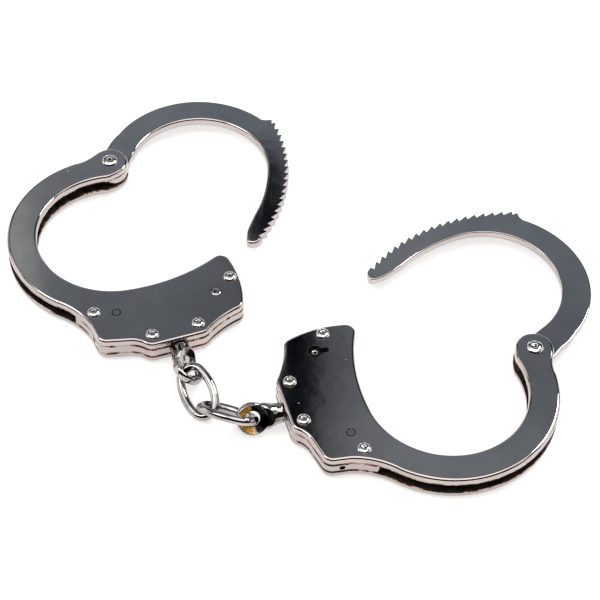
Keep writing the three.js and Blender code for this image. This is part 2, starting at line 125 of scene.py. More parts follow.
def arc(centre, radius, start, end):
    count = max(3, math.ceil(abs(end - start) / ARC_STEP))
    return [polar(radius, start + (end - start) * i / count, centre) for i in range(count + 1)]


def bezier(*controls, count=14):
    """The points of a quadratic or cubic curve, both ends included."""
    points = []
    for i in range(count + 1):
        level = [Vector(c) for c in controls]
        while len(level) > 1:
            level = [a.lerp(b, i / count) for a, b in zip(level, level[1:])]
        points.append(tuple(level[0]))
    return points


def straight(a, b, pitch=3.0):
    count = max(1, math.ceil((Vector(b) - Vector(a)).length / pitch))
    return [tuple(Vector(a).lerp(Vector(b), i / count)) for i in range(count + 1)]


def joined(*runs):
    """One closed loop from runs of points, with doubled points dropped."""
    loop = []
    for run in runs:
        for p in run:
            if not loop or math.dist(p, loop[-1]) > 0.02:
                loop.append(tuple(p))
    while math.dist(loop[0], loop[-1]) < 0.02:
        loop.pop()
    return loop


def eased(loop, reach=0.35, keep_over=24.0):
    """Rounds each corner sharper than keep_over degrees by a short curve of about that reach."""
    out = []
    for before, p, after in zip(loop[-1:] + loop[:-1], loop, loop[1:] + loop[:1]):
        a, b = Vector(before) - Vector(p), Vector(after) - Vector(p)
        turn = 180 - math.degrees(a.angle(b))
        if turn < keep_over:
            out.append(p)
            continue
        r = min(reach, a.length * 0.4, b.length * 0.4)
        start, end = Vector(p) + a.normalized() * r, Vector(p) + b.normalized() * r
        out.extend(bezier(start, Vector(p), end, count=4))
    return out


R2, R3 = Vector(RIVETS["swivel_left"]), Vector(RIVETS["swivel_right"])
SWIVEL_BASE = (R2 + R3) / 2
SWIVEL_ANGLE = math.degrees(math.atan2((R3 - R2).y, (R3 - R2).x)) - 90


def case_side():
    """The outline of the lock case from the mouth's tip round its outside to the bow's slot."""
    start = polar(BOW_OUTER, -62.4, BOW_CENTRE)
    return joined(
        arc((-37.82, -43.38), 3.2, 46, 160),
        bezier(polar(3.2, 160, (-37.82, -43.38)), (-43.2, -46.3), (-45.4, -52.5), (-45.5, -59.3)),
        arc((-42.2, -59.3), 3.3, 180, 237),
        bezier(polar(3.3, 237, (-42.2, -59.3)), (-40.2, -64.5), (-36.9, -68.25), polar(RIVET_BOSS, 215, R2)),
        arc(R2, RIVET_BOSS, 215, 360 + SWIVEL_ANGLE),
        straight(polar(RIVET_BOSS, SWIVEL_ANGLE, R2), polar(RIVET_BOSS, SWIVEL_ANGLE, R3), 1.5),
        arc(R3, RIVET_BOSS, SWIVEL_ANGLE, -60),
        bezier(polar(RIVET_BOSS, -60, R3), (-14.2, -75.8), (-12, -75.9)),
        straight((-12, -75.9), polar(3.5, -92, (-4.6, -73.2))),
        arc((-4.6, -73.2), 3.5, -92, -31),
        straight(polar(3.5, -31, (-4.6, -73.2)), (0.6, -70.6)),
        bezier((0.6, -70.6), (2.2, -67.9), (6.2, -63.6), start, count=24),
    )


def cheek_outline():
    start = polar(BOW_OUTER, -62.4, BOW_CENTRE)
    bow_top = polar(BOW_OUTER, 63.4, BOW_CENTRE)
    return joined(
        [start],
        arc(BOW_CENTRE, BOW_OUTER, -62.4, 63.4),
        bezier(bow_top, (7.9, -0.35), (5.9, 2.45), polar(PIVOT_BOSS, 45)),
        arc((0, 0), PIVOT_BOSS, 45, 230),
        bezier(polar(PIVOT_BOSS, 230), (-1.65, -6.6), polar(BOW_INNER, 80, BOW_CENTRE)),
        arc(BOW_CENTRE, BOW_INNER, 80, -103),
        arc((3.3, -0.8), 56, -103, -134),
        case_side()[:-1],
    )


TOOTH_FACE = 0.16


def strand_outline():
    """(points, how much of the full edge rounding each point takes): the teeth keep a crisp edge."""
    first = TOOTH_LAST - (TOOTH_COUNT - 1) * TOOTH_PITCH
    teeth = [(-45.1, 33.8), polar(58.5, 143.9), polar(58.1, 144.9)]
    for i in range(TOOTH_COUNT):
        tip = first + i * TOOTH_PITCH
        teeth.extend([polar(TOOTH_ROOT, tip - 0.18), polar(TOOTH_TIP, tip)])
    outside = joined(
        arc((0, 0), 5.6, 270, 360),
        bezier((5.6, 0), (5.5, 4), (3.6, 6.5), (3.3, 10)),
        bezier((3.3, 10), (2.9, 13.2), polar(30.6, 15, (-28, 8))),
        arc((-28, 8), 30.6, 15, 121),
    )
    limb_inner = math.hypot(*STRAND_BELLY) + STRAND_BELLY_RADIUS
    join_turn = math.degrees(math.atan2(STRAND_BELLY[1], STRAND_BELLY[0]))
    inside = joined(
        bezier(polar(TOOTH_TIP, TOOTH_LAST), (-55.1, -22.2), (-52.9, -22.5))[2:],
        bezier((-52.9, -22.5), (-51.2, -22.7), (-50.8, -20.6)),
        bezier((-50.8, -20.6), (-50.1, -17.8), (-50.5, -14.4)),
        bezier((-50.5, -14.4), (-50.7, -12.2), polar(limb_inner, 190)),
        arc((0, 0), limb_inner, 190, join_turn),
        arc(STRAND_BELLY, STRAND_BELLY_RADIUS, join_turn, 4),
        bezier(polar(STRAND_BELLY_RADIUS, 4, STRAND_BELLY), (-5.5, 5), (-5.6, 0)),
        arc((0, 0), 5.6, 180, 267),
    )
    shares = [1.0] * len(outside) + [TOOTH_FACE] * len(teeth) + [1.0] * len(inside)
    return outside + teeth + inside, shares


def ring(centre, radius, count=40):
    return [polar(radius, 360 * i / count, centre) for i in range(count)]


def keyhole():
    slot_half, slot_end = 0.95, 4.3
    root = math.degrees(math.asin(slot_half / KEYHOLE))
    turn = KEY_SLOT_ANGLE
    body = arc(KEY_POST, KEYHOLE, turn + root, turn + 360 - root)
    tip = arc(polar(slot_end - slot_half, turn, KEY_POST), slot_half, turn - 90, turn + 90)
    return joined(body, tip)


def clamp(value):
    return max(0.0, min(1.0, value))


def swivel_point(along, aside):
    x, y = polar(along, SWIVEL_ANGLE, SWIVEL_BASE)
    return polar(aside, SWIVEL_ANGLE + 90, (x, y))


def spacer_outline():
    """The lock case's filling: it follows the cheeks outside, with the swivel's seat and the lock's hollow.

    The hollow stops short of the key post, which stands in solid filling.
    """
    outside = [p for p in case_side() if p[0] < 6.0 and math.hypot(*p) > CHANNEL]
    mouth_turn = math.degrees(math.atan2(outside[0][1], outside[0][0])) % 360
    seat = [
        swivel_point(RIVET_BOSS, -2.12), swivel_point(0.25, -2.12), swivel_point(0.25, -2.96),
        swivel_point(-1.95, -2.96), swivel_point(-1.95, 2.96), swivel_point(0.25, 2.96),
        swivel_point(0.25, 2.12), swivel_point(RIVET_BOSS, 2.12),
    ]
    edge = sorted(range(len(outside)), key=lambda i: math.dist(outside[i], swivel_point(RIVET_BOSS, 0)))[0]
    wall = [p for p in outside if math.dist(p, outside[edge]) > 2.3]
    before = [p for p in wall if outside.index(p) < edge]
    after = [p for p in wall if outside.index(p) > edge]
    hollow = [
        (-3.4, -61.5), (-3.4, -70.9), (-20.4, -70.9), (-20.4, -67.9), (-21.6, -67.5),
        (-27.2, -65.5), (-30.6, -63.4), (-33.6, -59.8),
    ]
    key_side = arc(KEY_POST, 4.6, -42, 36)
    mouth = arc((0, 0), CHANNEL, 231.6, mouth_turn)
    throat = arc((0, 0), CHANNEL, 275.7, 267.5)
    return joined(before, list(reversed(seat)), after, [(6.0, -64.0)], throat, hollow, key_side, mouth)


# ---------------------------------------------------------------- meshes
def placed(side):
    """The matrix from a cuff's own frame in millimetres to the row frame in metres."""
    cuff = CUFFS[side]
    base = Matrix.Translation(SHIFT + Vector((*cuff["at"], MID_HEIGHT)))
    turn = Matrix.Rotation(math.radians(cuff["turn"]), 4, "Z")
    over = Matrix.Rotation(math.pi, 4, "Y") if cuff["over"] else Matrix.Identity(4)
    return Matrix.Scale(MM, 4) @ base @ turn @ over


def made(name, bm, matrix, sharp=38.0):
    """A finished object at the row origin from a bmesh in millimetres."""
    bmesh.ops.remove_doubles(bm, verts=bm.verts, dist=1e-4)
    bmesh.ops.transform(bm, matrix=matrix, verts=bm.verts)
    bmesh.ops.recalc_face_normals(bm, faces=bm.faces)
    mesh = bpy.data.meshes.new(name)
    bm.to_mesh(mesh)
    bm.free()
    mesh.shade_smooth()
    mesh.set_sharp_from_angle(angle=math.radians(sharp))
    obj = bpy.data.objects.new(name, mesh)
    bpy.context.scene.collection.objects.link(obj)
    return obj


def outward(loop, shares=None):
    """Each point's offset direction, away from the inside, long enough to keep both edges' distance."""
    area = sum(a[0] * b[1] - b[0] * a[1] for a, b in zip(loop, loop[1:] + loop[:1]))
    sign = 1.0 if area > 0 else -1.0
    out = []
    for i, p in enumerate(loop):
        a, b = Vector(loop[i - 1]), Vector(loop[(i + 1) % len(loop)])
        d1, d2 = (Vector(p) - a).normalized(), (b - Vector(p)).normalized()
        n1, n2 = Vector((d1.y, -d1.x)) * sign, Vector((d2.y, -d2.x)) * sign
        n = n1 + n2
        n = n / max(0.35, n.dot(n1)) if n.length > 1e-6 else n1
        out.append(n * (shares[i] if shares else 1.0))
    return out


def rings_of(bm, loop, levels, shares=None):
    """Rings of vertices at each (inset, height) level of a loop. A negative inset grows the loop."""
    normals = outward(loop, shares)
    rings = []
    for inset, height in levels:
        rings.append([
            bm.verts.new((p[0] - n.x * inset, p[1] - n.y * inset, height)) for p, n in zip(loop, normals)
        ])
    for low, high in zip(rings, rings[1:]):
        count = len(low)
        for i in range(count):
            j = (i + 1) % count
            bm.faces.new((low[i], low[j], high[j], high[i]))
    return rings


def rounding(radius, height, upper, steps=5, rim=0.04):
    """Levels of a quarter-round edge at a face's height, from the wall to the face if upper, else back."""
    sign = 1 if upper else -1
    levels = []
    for i in range(steps + 1):
        a = math.pi / 2 * i / steps
        levels.append((radius * (1 - math.cos(a)), height - sign * radius * (1 - math.sin(a))))
    levels.append((radius + rim, height))
    return levels if upper else levels[::-1]


def plate(name, loop, low, high, matrix, rounds, holes=(), shares=None, hole_round=0.06, cut=None, pick=None):
    """A flat plate with rounded edges and clean holes.

    cut is a solid taken out, pick gives a face its material.
    """
    low_round, high_round = rounds
    bm = bmesh.new()
    bands = [(0, low + SEAM_BAND)] if low_round == SEAM_ROUND else []
    bands += [(0, high - SEAM_BAND)] if high_round == SEAM_ROUND else []
    levels = rounding(low_round, low, False) + bands + rounding(high_round, high, True)
    loops = [(loop, levels, shares)]
    for hole in holes:
        edge = rounding(hole_round, low, False, 2) + rounding(hole_round, high, True, 2)
        loops.append((hole, [(-inset, z) for inset, z in edge], None))
    low_edges, high_edges = [], []
    for points, profile, share in loops:
        rings = rings_of(bm, points, profile, share)
        for ends, edges in ((rings[0], low_edges), (rings[-1], high_edges)):
            for i, v in enumerate(ends):
                pair = (v, ends[(i + 1) % len(ends)])
                edges.append(bm.edges.get(pair) or bm.edges.new(pair))
    bmesh.ops.triangle_fill(bm, edges=low_edges, use_beauty=True, normal=(0, 0, -1))
    bmesh.ops.triangle_fill(bm, edges=high_edges, use_beauty=True, normal=(0, 0, 1))
    obj = made(name, bm, Matrix.Identity(4))
    if cut is not None:
        subtract(obj, cut)
    if pick:
        for face in obj.data.polygons:
            face.material_index = pick(face.center, face.normal)
    obj.data.transform(matrix)
    obj.data.update()
    return obj


def subtract(obj, cutter):
    """Takes the cutter out of obj for good."""
    modifier = obj.modifiers.new("cut", "BOOLEAN")
    modifier.operation = "DIFFERENCE"
    modifier.solver = "EXACT"
    modifier.object = cutter
    graph = bpy.context.evaluated_depsgraph_get()
    mesh = bpy.data.meshes.new_from_object(obj.evaluated_get(graph))
    obj.modifiers.remove(modifier)
    obj.data = mesh
    mesh.name = obj.name
    mesh.shade_smooth()
    mesh.set_sharp_from_angle(angle=math.radians(38.0))


def lathe_rings(bm, profile, sides, place):
    """A closed turned shell from (radius, height) pairs that start and end on the axis."""
    rings = []
    for radius, height in profile:
        count = sides if radius > 1e-6 else 1
        spots = [Vector((*polar(radius, 360 * i / sides), height)) for i in range(count)]
        rings.append([bm.verts.new(place @ spot) for spot in spots])
    for low, high in zip(rings, rings[1:]):
        for i in range(sides):
            j = (i + 1) % sides
            if len(low) == 1:
                bm.faces.new((low[0], high[j], high[i]))
            elif len(high) == 1:
                bm.faces.new((low[i], low[j], high[0]))
            else:
                bm.faces.new((low[i], low[j], high[j], high[i]))


def web_rings(bm, sections, sides, place):
    """A closed shell through oval (height, half width, half thickness) sections."""
    rings = []
    for height, wide, thick in sections:
        turns = [2 * math.pi * i / sides for i in range(sides)]
        spots = [Vector((wide * math.cos(a), thick * math.sin(a), height)) for a in turns]
        rings.append([bm.verts.new(place @ spot) for spot in spots])
    for low, high in zip(rings, rings[1:]):
        for i in range(sides):
            j = (i + 1) % sides
            bm.faces.new((low[i], low[j], high[j], high[i]))
    bm.faces.new(rings[0][::-1])
    bm.faces.new(rings[-1])


def turned(name, profile, matrix, sides=48, along=Matrix.Identity(4), shade_paint=None):
    """A turned solid from (radius, height) pairs that start and end on the axis.

    Its last argument gives the painted shade at each (radius, height).
    """
    bm = bmesh.new()
    lathe_rings(bm, profile, sides, Matrix.Identity(4))
    obj = made(name, bm, Matrix.Identity(4), sharp=50.0)
    if shade_paint:
        painted_shade = obj.data.attributes.new("painted_shade", "FLOAT", "POINT")
        for v in obj.data.vertices:
            painted_shade.data[v.index].value = shade_paint(math.hypot(v.co.x, v.co.y), abs(v.co.z))
    obj.data.transform(matrix @ along)
    obj.data.update()
    return obj


def wire_rings(bm, stations, radius, sides):
    """A closed round wire along (x, y, outward x, outward y) stations."""
    rings = []
    for x, y, nx, ny in stations:
        ring_verts = []
        for k in range(sides):
            a = 2 * math.pi * k / sides
            out = radius * math.cos(a)
            ring_verts.append(bm.verts.new((x + nx * out, y + ny * out, radius * math.sin(a))))
        rings.append(ring_verts)
    for a, b in zip(rings, rings[1:] + rings[:1]):
        for k in range(sides):
            j = (k + 1) % sides
            bm.faces.new((a[k], b[k], b[j], a[j]))


def link_stations():
    """Tighter arcs at the ends, long arcs bulging along the sides."""
    end_at = LINK_LENGTH / 2 - LINK_WIRE - LINK_END
    side_radius = (end_at**2 + LINK_HALF**2 - LINK_END**2) / (2 * (LINK_HALF - LINK_END))
    side_at = LINK_HALF - side_radius
    joint = math.degrees(math.atan2(end_at, -side_at))
    stations = []
    for centre, radius, start, end, count in (
        ((end_at, 0), LINK_END, joint - 90, 90 - joint, 40),
        ((0, side_at), side_radius, 90 - joint, 90 + joint, 24),
        ((-end_at, 0), LINK_END, 90 + joint, 270 - joint, 40),
        ((0, -side_at), side_radius, 270 - joint, 270 + joint, 24),
    ):
        for i in range(count):
            angle = start + (end - start) * i / count
            stations.append((*polar(radius, angle, centre), *polar(1, angle)))
    return stations


def seat_cutter():
    """The turned space that the swivel's stem and head fill, in the cuff's frame."""
    profile = [(0, -1.95), (2.95, -1.95), (2.95, 0.25), (2.1, 0.25), (2.1, 6), (0, 6)]
    along = Matrix.Translation((*SWIVEL_BASE, 0)) @ Matrix.Rotation(math.radians(SWIVEL_ANGLE - 90), 4, "Z")
    cutter = turned(
        "seat_cutter", profile, Matrix.Identity(4), 48, along @ Matrix.Rotation(-math.pi / 2, 4, "X"),
    )
    return cutter


def push_cutter():
    """The hole in the case wall that the lock bar is pushed through."""
    reach = PUSH_LENGTH / 2
    along = Matrix.Translation((*PUSH_AT, 0)) @ Matrix.Rotation(math.radians(PUSH_ANGLE), 4, "Z")
    profile = [(0, -reach), (PUSH_RADIUS, -reach), (PUSH_RADIUS, reach), (0, reach)]
    return turned(
        "push_cutter", profile, Matrix.Identity(4), 32, along @ Matrix.Rotation(math.pi / 2, 4, "Y"),
    )


# ---------------------------------------------------------------- materials
def node(tree, kind, **values):
    made_node = tree.nodes.new(kind)
    for key, value in values.items():
        if key.startswith("in_"):
            made_node.inputs[key[3:].replace("_", " ")].default_value = value
        else:
            setattr(made_node, key, value)
    return made_node


def ramp(tree, source, stops):
    r = tree.nodes.new("ShaderNodeValToRGB")
    while len(r.color_ramp.elements) < len(stops):
        r.color_ramp.elements.new(0.5)
    for element, (position, colour) in zip(r.color_ramp.elements, stops):
        element.position = position
        element.color = (*colour, 1.0) if len(colour) == 3 else (colour[0],) * 3 + (1.0,)
    tree.links.new(source, r.inputs["Fac"])
    return r.outputs["Color"]


def metal(name, light, dark, rough, scratch=0.35, grain=0.0, painted_layers=(), waves=0.02):
    """Plated or ground steel.

    It has cloudy colour, fingerprint-soft roughness, fine wiping scratches and pin specks.
    """
    mat = bpy.data.materials.new(name)
    mat.use_nodes = True
    tree = mat.node_tree
    shader = tree.nodes["Principled BSDF"]
    link = tree.links.new
    shader.inputs["Metallic"].default_value = 1.0
    where = node(tree, "ShaderNodeTexCoord").outputs["Object"]

    cloud = node(tree, "ShaderNodeTexNoise", in_Scale=90.0, in_Detail=4.0, in_Roughness=0.55)
    link(where, cloud.inputs["Vector"])
    colour = ramp(tree, cloud.outputs["Fac"], [(0.3, dark), (0.7, light)])

    specks = node(tree, "ShaderNodeTexVoronoi", in_Scale=260.0)
    link(where, specks.inputs["Vector"])
    dots = ramp(tree, specks.outputs["Distance"], [(0.035, (1.0,)), (0.075, (0.0,))])
    thin = node(tree, "ShaderNodeTexNoise", in_Scale=55.0, in_Detail=1.0)
    link(where, thin.inputs["Vector"])
    sparse = ramp(tree, thin.outputs["Fac"], [(0.54, (0.0,)), (0.62, (1.0,))])
    speck = node(tree, "ShaderNodeMath", operation="MULTIPLY")
    link(dots, speck.inputs[0])
    link(sparse, speck.inputs[1])

    masks = {}
    # Layers painted from vertex attributes over the nickel: a copper reflection and near-black shade.
    if painted_layers:
        breakup = node(tree, "ShaderNodeTexNoise", in_Scale=1300.0, in_Detail=3.0)
        link(where, breakup.inputs["Vector"])
        # Copper tone for the painted copper reflection, with partly real wearing of the plating.
        bare = ramp(tree, breakup.outputs["Fac"], [(0.38, (0.62, 0.17, 0.02)), (0.60, (1.0, 0.60, 0.10))])
        # Near-black painted shade for holes, recesses and where parts meet.
        painted_shade = node(tree, "ShaderNodeRGB").outputs[0]
        painted_shade.default_value = (0.008, 0.007, 0.008, 1.0)
        for layer in painted_layers:
            tone = {"glint_and_wear": bare, "painted_shade": painted_shade}[layer]
            amount = node(tree, "ShaderNodeAttribute", attribute_name=layer).outputs["Fac"]
            edge = node(tree, "ShaderNodeMath", operation="MULTIPLY_ADD")
            link(breakup.outputs["Fac"], edge.inputs[0])
            edge.inputs[1].default_value = 0.5
            link(amount, edge.inputs[2])
            mask = ramp(tree, edge.outputs[0], [(0.62, (0.0,)), (0.95, (1.0,))])
            masks[layer] = mask
            overlay = node(tree, "ShaderNodeMixRGB")
            link(mask, overlay.inputs["Fac"])
            link(colour, overlay.inputs["Color1"])
            link(tone, overlay.inputs["Color2"])
            colour = overlay.outputs["Color"]

    spotted = node(tree, "ShaderNodeMixRGB", in_Color2=(0.93, 0.93, 0.94, 1.0))
    link(speck.outputs[0], spotted.inputs["Fac"])
    link(colour, spotted.inputs["Color1"])
    link(spotted.outputs["Color"], shader.inputs["Base Color"])

    lines = []
    for turn, squeeze, scale in ((0.5, 42.0, 26.0), (-0.9, 55.0, 20.0), (1.7, 36.0, 30.0)):
        mapping = node(
            tree, "ShaderNodeMapping", in_Rotation=(0.2 * turn, 0.3, turn), in_Scale=(squeeze, 1.0, 1.0),
        )
        link(where, mapping.inputs["Vector"])
        streak = node(tree, "ShaderNodeTexNoise", in_Scale=scale, in_Detail=2.0, in_Roughness=0.6)
        link(mapping.outputs["Vector"], streak.inputs["Vector"])
        lines.append(ramp(tree, streak.outputs["Fac"], [(0.68, (0.0,)), (0.8, (1.0,))]))
    total = lines[0]
    for other in lines[1:]:
        most = node(tree, "ShaderNodeMath", operation="MAXIMUM")
        link(total, most.inputs[0])
        link(other, most.inputs[1])
        total = most.outputs[0]

    smear = node(tree, "ShaderNodeTexNoise", in_Scale=38.0, in_Detail=5.0, in_Roughness=0.65)
    link(where, smear.inputs["Vector"])
    base_rough = node(tree, "ShaderNodeMapRange")
    link(smear.outputs["Fac"], base_rough.inputs["Value"])
    base_rough.inputs["From Min"].default_value = 0.3
    base_rough.inputs["From Max"].default_value = 0.75
    base_rough.inputs["To Min"].default_value = rough * 0.7
    base_rough.inputs["To Max"].default_value = rough * 1.7
    more = node(tree, "ShaderNodeMath", operation="MULTIPLY_ADD")
    link(total, more.inputs[0])
    more.inputs[1].default_value = 0.16 * scratch
    link(base_rough.outputs["Result"], more.inputs[2])
    dusted = node(tree, "ShaderNodeMath", operation="MULTIPLY_ADD")
    link(speck.outputs[0], dusted.inputs[0])
    dusted.inputs[1].default_value = 0.4
    link(more.outputs[0], dusted.inputs[2])
    rough_now = dusted.outputs[0]
    # Where the painted copper reflection lies, the metal is rougher and partly non-metallic.
    if "glint_and_wear" in masks:
        glint_rough = node(tree, "ShaderNodeMath", operation="MULTIPLY_ADD")
        link(masks["glint_and_wear"], glint_rough.inputs[0])
        glint_rough.inputs[1].default_value = 0.18
        link(rough_now, glint_rough.inputs[2])
        rough_now = glint_rough.outputs[0]
        glint_metal = node(tree, "ShaderNodeMath", operation="MULTIPLY_ADD")
        link(masks["glint_and_wear"], glint_metal.inputs[0])
        glint_metal.inputs[1].default_value = -0.7
        glint_metal.inputs[2].default_value = 1.0
        link(glint_metal.outputs[0], shader.inputs["Metallic"])
    link(rough_now, shader.inputs["Roughness"])

    peel = node(tree, "ShaderNodeTexNoise", in_Scale=170.0, in_Detail=2.0)
    link(where, peel.inputs["Vector"])
    wavy = node(tree, "ShaderNodeBump", in_Strength=waves, in_Distance=0.0006)
    link(peel.outputs["Fac"], wavy.inputs["Height"])
    scored = node(tree, "ShaderNodeBump", in_Strength=0.1 * scratch, in_Distance=0.00006, invert=True)
    link(total, scored.inputs["Height"])
    link(wavy.outputs["Normal"], scored.inputs["Normal"])
    last = scored
    if grain:
        brushed = node(tree, "ShaderNodeTexNoise", in_Scale=2400.0, in_Detail=3.0)
        link(where, brushed.inputs["Vector"])
        last = node(tree, "ShaderNodeBump", in_Strength=grain, in_Distance=0.00003)
        link(brushed.outputs["Fac"], last.inputs["Height"])
        link(scored.outputs["Normal"], last.inputs["Normal"])
    link(last.outputs["Normal"], shader.inputs["Normal"])
    return mat


def grime_and_shade(name, stops, rough, shine, scale):
    """Dark steel in patches over what is left of the metal: grime and rust in the seams, painted shade inside
    the case.
    """
    mat = bpy.data.materials.new(name)
    mat.use_nodes = True
    tree = mat.node_tree
    shader = tree.nodes["Principled BSDF"]
    shader.inputs["Metallic"].default_value = shine
    where = node(tree, "ShaderNodeTexCoord").outputs["Object"]
    patch = node(tree, "ShaderNodeTexNoise", in_Scale=scale, in_Detail=5.0, in_Roughness=0.72)
    tree.links.new(where, patch.inputs["Vector"])
    tree.links.new(ramp(tree, patch.outputs["Fac"], stops), shader.inputs["Base Color"])
    dull = node(
        tree, "ShaderNodeMapRange", in_From_Min=0.46, in_From_Max=0.56, in_To_Min=rough * 1.4,
        in_To_Max=rough * 0.25,
    )
    tree.links.new(patch.outputs["Fac"], dull.inputs["Value"])
    tree.links.new(dull.outputs["Result"], shader.inputs["Roughness"])
    pitted = node(tree, "ShaderNodeBump", in_Strength=0.3, in_Distance=0.00005)
    tree.links.new(patch.outputs["Fac"], pitted.inputs["Height"])
    tree.links.new(pitted.outputs["Normal"], shader.inputs["Normal"])
    return mat


PLATE = metal("polished_nickel", (0.55, 0.48, 0.46), (0.455, 0.405, 0.39), 0.04, 0.12)
STRAND = metal("strand_nickel", (0.545, 0.485, 0.47), (0.45, 0.405, 0.40), 0.045, 0.4)
CHAIN = metal(
    "chain_nickel", (0.60, 0.57, 0.55), (0.20, 0.19, 0.185), 0.03, 1.0, waves=0.14, painted_layers=("glint_and_wear", "painted_shade"),
)
RIVET = metal("rivet_nickel", (0.78, 0.755, 0.73), (0.56, 0.54, 0.52), 0.05, 0.5, waves=0.09, painted_layers=("painted_shade",))
PIN = metal("pin_nickel", (0.60, 0.55, 0.53), (0.45, 0.42, 0.41), 0.16, 0.8, painted_layers=("painted_shade",))
GROUND = metal("ground_steel", (0.50, 0.49, 0.48), (0.36, 0.355, 0.35), 0.28, 0.9, grain=0.25)
SPRING = metal("spring_steel", (0.30, 0.30, 0.32), (0.17, 0.17, 0.19), 0.3, 0.6, grain=0.2)
SEAM = grime_and_shade("seam_grime", [
    (0.42, (0.012, 0.007, 0.006)), (0.485, (0.09, 0.034, 0.02)), (0.53, (0.34, 0.14, 0.075)),
    (0.56, (0.5, 0.44, 0.42)),
], 0.34, 0.9, 170.0)
# Painted shade: near-black steel for the faces inside the case and the walls of its holes.
INSIDE_SHADE = grime_and_shade("inside_painted_shade", [(0.35, (0.032, 0.025, 0.021)), (0.7, (0.075, 0.06, 0.048))], 0.45, 0.7, 260.0)


def dressed(obj, materials, body, slot, *nodes):
    """Gives a piece its finishes and its place on a body, standing for CAD nodes."""
    for material in materials:
        obj.data.materials.append(material)
    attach(obj, body)
    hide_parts(*nodes)


# ---------------------------------------------------------------- pieces of a cuff
def dome_profile(head, shank):
    """A rivet closed on both faces: a low dome with a struck dimple."""
    top = OUTER_FACE + HEAD_HEIGHT
    cup = head * 0.3
    upper = [(shank, OUTER_FACE - 0.02), (head * 0.97, OUTER_FACE - 0.02)]
    for i in range(8):
        a = math.radians(6 + 66 * i / 7)
        crown = OUTER_FACE + HEAD_HEIGHT * math.sin(a) / math.sin(math.radians(72))
        upper.append((cup + (head - cup) * math.cos(a), crown))
    upper += [
        (cup * 1.02, top), (cup * 0.9, top - 0.06), (cup * 0.7, top - 0.34),
        (cup * 0.3, top - 0.4), (0, top - 0.42),
    ]
    lower = [(radius, -height) for radius, height in reversed(upper)]
    return lower + upper


def flush_profile(radius, ring_radius):
    """A pin ground flush with both faces, with a shallow turned ring in its ends."""
    top = OUTER_FACE - 0.01
    upper = [
        (radius, top), (ring_radius + 0.1, top), (ring_radius + 0.1, top - 0.25),
        (ring_radius - 0.1, top - 0.25),
        (ring_radius - 0.1, top), (0, top),
    ]
    return [(r, -h) for r, h in reversed(upper)] + upper


def key_profile():
    top = OUTER_FACE
    return [
        (0, 0.1 - top), (0.7, 0.08 - top), (0.8, 0.25 - top), (0.95, 0.02 - top), (1.35, -top),
        (1.5, 0.12 - top),
        (1.5, -HALF_GAP), (1.12, -HALF_GAP + 0.05), (1.1, top - 0.75), (0.98, top - 0.55), (0.6, top - 0.5),
        (0.45, top - 0.62), (0.45, top - 1.7), (0, top - 1.75),
    ]


def cup_shade(head):
    """Painted shade in a rivet's dimple and round the foot of its dome."""
    def darkened(radius, height):
        if radius > head * 0.96 and height < OUTER_FACE + 0.2:
            return 1.0
        return 0.6 if radius < head * 0.24 else 0.0
    return darkened


# Painted shade at the bottom of the ring turned in the pin's ends.
def ring_shade(radius, height):
    return 0.8 if height < OUTER_FACE - 0.03 else 0.0


# Painted shade inside the bore of the key post.
def bore_shade(radius, height):
    return 1.0 if radius < 0.47 else 0.0


